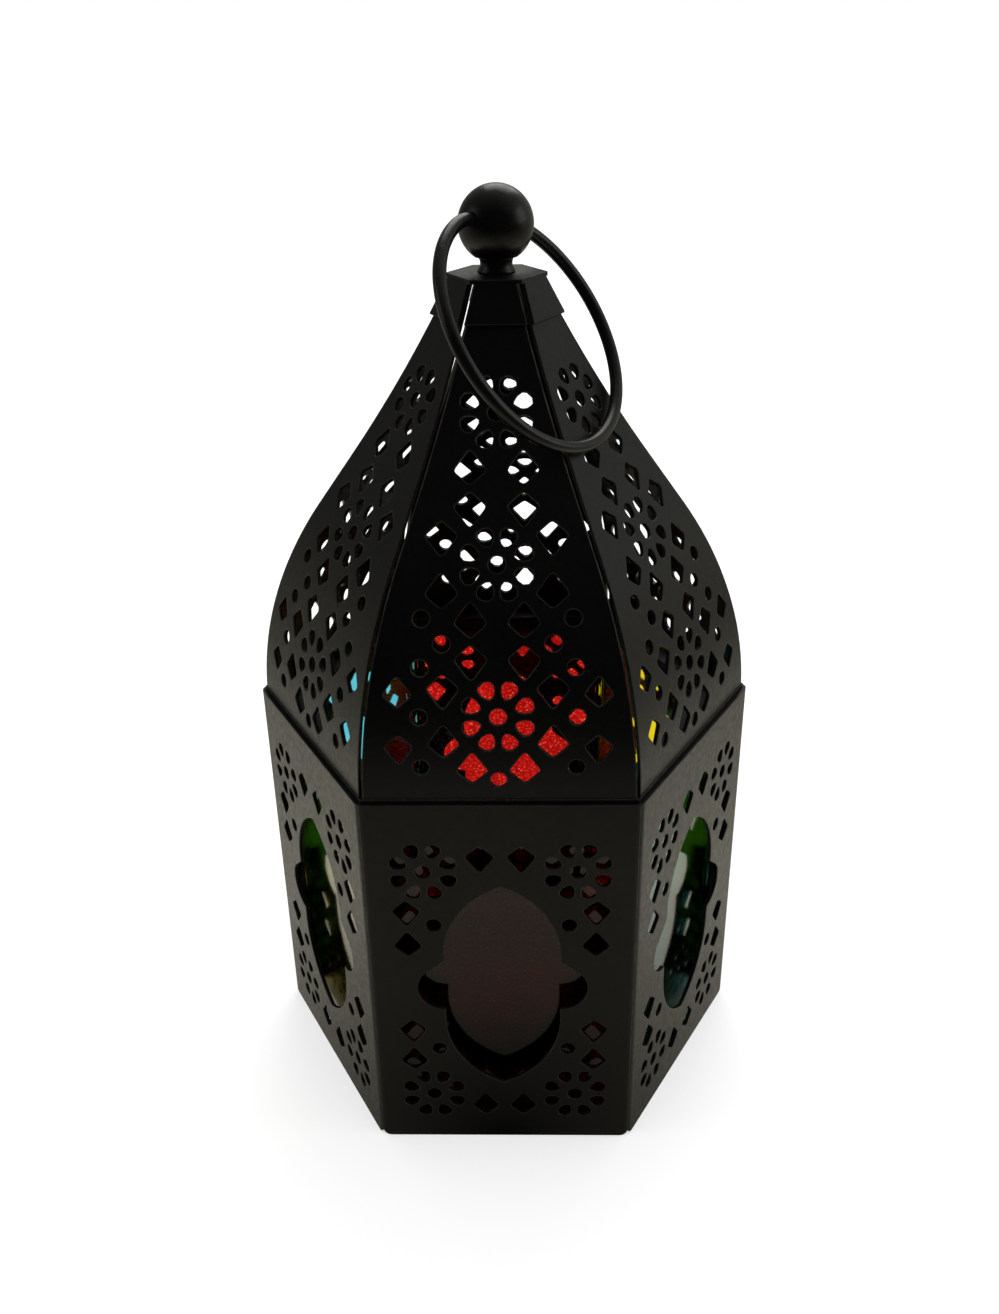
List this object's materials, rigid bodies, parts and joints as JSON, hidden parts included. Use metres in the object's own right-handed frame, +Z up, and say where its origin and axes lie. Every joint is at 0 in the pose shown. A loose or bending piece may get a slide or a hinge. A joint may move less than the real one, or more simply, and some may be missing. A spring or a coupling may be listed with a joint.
{
  "type": "fanous lantern",
  "caption": "Six-sided pierced metal lantern with coloured glass panes, a rear door with a turn latch, a bell-shaped roof, and a ball finial with a swinging ring handle.",
  "frame": {"origin": "middle of the base plate's underside, on the surface that the lantern stands on", "axes": "+Z up through the finial, -Y out of the front panel, +X to the right seen from the front; the door is at the rear, +Y"},
  "size_m": [0.1034, 0.0954, 0.185],
  "materials": {
    "black_sheet": "satin black powder coat on thin sheet",
    "black_hardware": "satin black, slightly worn",
    "black_wire": "semi-gloss black wire",
    "bare_steel": "dull zinc plate",
    "red_glass": "smooth outside, finely pebbled inside",
    "yellow_glass": "smooth, with faint streaks",
    "blue_glass": "smooth, with faint streaks"
  },
  "bodies": {
    "lantern": {"base_plate": "black_sheet", "candle_cup": "black_sheet", "panel_front": "black_sheet", "panel_front_left": "black_sheet", "panel_front_right": "black_sheet", "panel_rear_left": "black_sheet", "panel_rear_right": "black_sheet", "hinge_pin": "bare_steel", "strike_plate": "bare_steel", "glass_front": "red_glass", "glass_front_left": "yellow_glass", "glass_front_right": "blue_glass", "glass_rear_left": "blue_glass", "glass_rear_right": "yellow_glass", "lower_channels": "black_sheet", "upper_channels": "black_sheet", "rim_frame": "black_sheet", "petal_front": "black_sheet", "petal_front_left": "black_sheet", "petal_front_right": "black_sheet", "petal_rear_left": "black_sheet", "petal_rear_right": "black_sheet", "petal_rear": "black_sheet", "roof_cap": "black_sheet", "cap_washer": "bare_steel", "finial_nut": "bare_steel", "finial_stud": "bare_steel", "finial_spacer": "black_hardware", "finial_ball": "black_hardware"},
    "door": {"door_panel": "black_sheet", "door_glass": "red_glass", "door_channels": "black_sheet"},
    "latch": {"latch_knob": "black_hardware", "latch_tongue": "bare_steel"},
    "ring": {"ring_handle": "black_wire"}
  },
  "joints": [
    {"name": "door_hinge", "type": "hinge", "parent": "lantern", "child": "door", "pos_m": [-0.0251, 0.04348, 0.04175], "axis": [0, 0, 1], "range_deg": [0, 110]},
    {"name": "latch_turn", "type": "hinge", "parent": "door", "child": "latch", "pos_m": [0.02, 0.04503, 0.04175], "axis": [0, -1, 0], "range_deg": [0, 90]},
    {"name": "ring_swing", "type": "hinge", "parent": "lantern", "child": "ring", "pos_m": [0, 0, 0.17808], "axis": [-0.6237, -0.754, 0.2062], "range_deg": [0, 288.5]}
  ]
}
